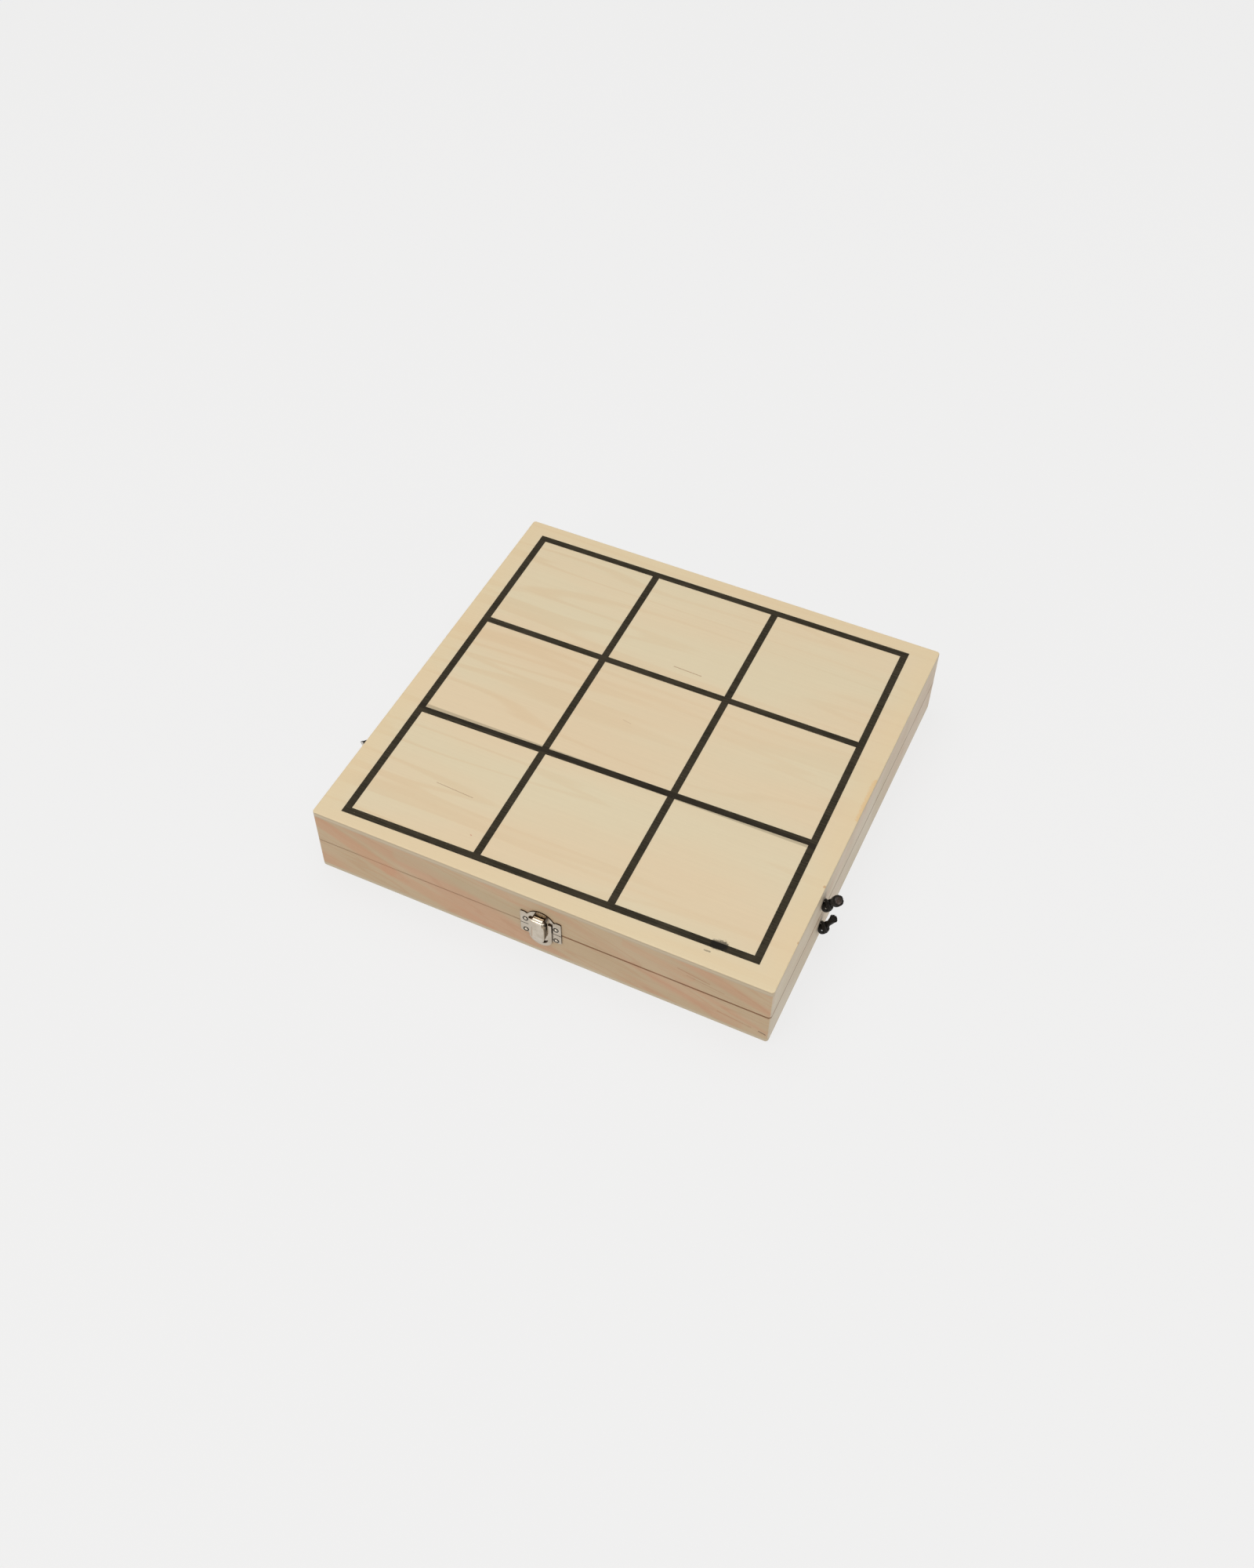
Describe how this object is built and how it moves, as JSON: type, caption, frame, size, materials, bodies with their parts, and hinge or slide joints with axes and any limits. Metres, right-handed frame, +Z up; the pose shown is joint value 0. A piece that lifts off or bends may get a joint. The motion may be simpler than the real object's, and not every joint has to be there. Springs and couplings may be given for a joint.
{
  "type": "board game box",
  "caption": "Shallow wooden game box that folds open at back hinges, with a printed grid board on its lid, a nickel hasp, elastic cords across both trays and loose pucks inside.",
  "frame": {"origin": "centre of the bottom face of the closed wooden box", "axes": "+X to the right seen from the hasp side, along the longest extent; +Y from the hasp towards the hinges; +Z up, through the lid"},
  "size_m": [0.3262, 0.3009, 0.0531],
  "materials": {
    "plywood": "sanded pale basswood plywood, clear matt finish",
    "pine": "planed pine, clear satin finish",
    "ink": "matt black-brown printed ink",
    "nickel": "bright nickel plate on pressed steel",
    "elastic": "black braided sleeve over a rubber core",
    "puck_light": "turned beech, clear satin finish",
    "puck_dark": "turned beech, black satin stain"
  },
  "bodies": {
    "base": {"base_panel": "plywood", "base_front_rail": "pine", "base_back_rail": "pine", "base_left_rail": "pine", "base_right_rail": "pine", "base_elastic": "elastic", "hasp_base_plate": "nickel", "hasp_base_tacks": "nickel", "left_hinge_base_leaf": "nickel", "left_hinge_pin": "nickel", "left_hinge_base_screws": "nickel", "right_hinge_base_leaf": "nickel", "right_hinge_pin": "nickel", "right_hinge_base_screws": "nickel"},
    "lid": {"lid_panel": "plywood", "lid_front_rail": "pine", "lid_back_rail": "pine", "lid_left_rail": "pine", "lid_right_rail": "pine", "board_print": "ink", "lid_elastic": "elastic", "hasp_lid_plate": "nickel", "hasp_pin": "nickel", "hasp_lid_tacks": "nickel", "left_hinge_lid_leaf": "nickel", "left_hinge_lid_screws": "nickel", "right_hinge_lid_leaf": "nickel", "right_hinge_lid_screws": "nickel"},
    "hasp_tongue": {"hasp_tongue": "nickel"},
    "light_puck_1": {"light_puck_1": "puck_light"},
    "light_puck_2": {"light_puck_2": "puck_light"},
    "light_puck_3": {"light_puck_3": "puck_light"},
    "light_puck_4": {"light_puck_4": "puck_light"},
    "light_puck_5": {"light_puck_5": "puck_light"},
    "dark_puck_1": {"dark_puck_1": "puck_dark"},
    "dark_puck_2": {"dark_puck_2": "puck_dark"},
    "dark_puck_3": {"dark_puck_3": "puck_dark"},
    "dark_puck_4": {"dark_puck_4": "puck_dark"},
    "dark_puck_5": {"dark_puck_5": "puck_dark"}
  },
  "joints": [
    {"name": "lid_hinge", "type": "hinge", "parent": "base", "child": "lid", "pos_m": [0, 0.14775, 0.0265], "axis": [-1, 0, 0], "range_deg": [0, 180]},
    {"name": "hasp_swing", "type": "hinge", "parent": "lid", "child": "hasp_tongue", "pos_m": [0.0045, -0.1493, 0.0371], "axis": [-1, 0, 0], "range_deg": [0, 170]},
    {"name": "light_puck_1_slide", "type": "slide", "parent": "base", "child": "light_puck_1", "axis": [0, -1, 0], "range_m": [0, 0.074]},
    {"name": "light_puck_2_slide", "type": "slide", "parent": "base", "child": "light_puck_2", "axis": [0, -1, 0], "range_m": [0, 0.074]},
    {"name": "light_puck_3_slide", "type": "slide", "parent": "base", "child": "light_puck_3", "axis": [0, -1, 0], "range_m": [0, 0.074]},
    {"name": "light_puck_4_slide", "type": "slide", "parent": "base", "child": "light_puck_4", "axis": [0, -1, 0], "range_m": [0, 0.074]},
    {"name": "light_puck_5_slide", "type": "slide", "parent": "base", "child": "light_puck_5", "axis": [0, -1, 0], "range_m": [0, 0.074]},
    {"name": "dark_puck_1_slide", "type": "slide", "parent": "base", "child": "dark_puck_1", "axis": [0, 1, 0], "range_m": [0, 0.0625]},
    {"name": "dark_puck_2_slide", "type": "slide", "parent": "base", "child": "dark_puck_2", "axis": [0, 1, 0], "range_m": [0, 0.0625]},
    {"name": "dark_puck_3_slide", "type": "slide", "parent": "base", "child": "dark_puck_3", "axis": [0, 1, 0], "range_m": [0, 0.0625]},
    {"name": "dark_puck_4_slide", "type": "slide", "parent": "base", "child": "dark_puck_4", "axis": [0, 1, 0], "range_m": [0, 0.0625]},
    {"name": "dark_puck_5_slide", "type": "slide", "parent": "base", "child": "dark_puck_5", "axis": [0, 1, 0], "range_m": [0, 0.0625]}
  ]
}
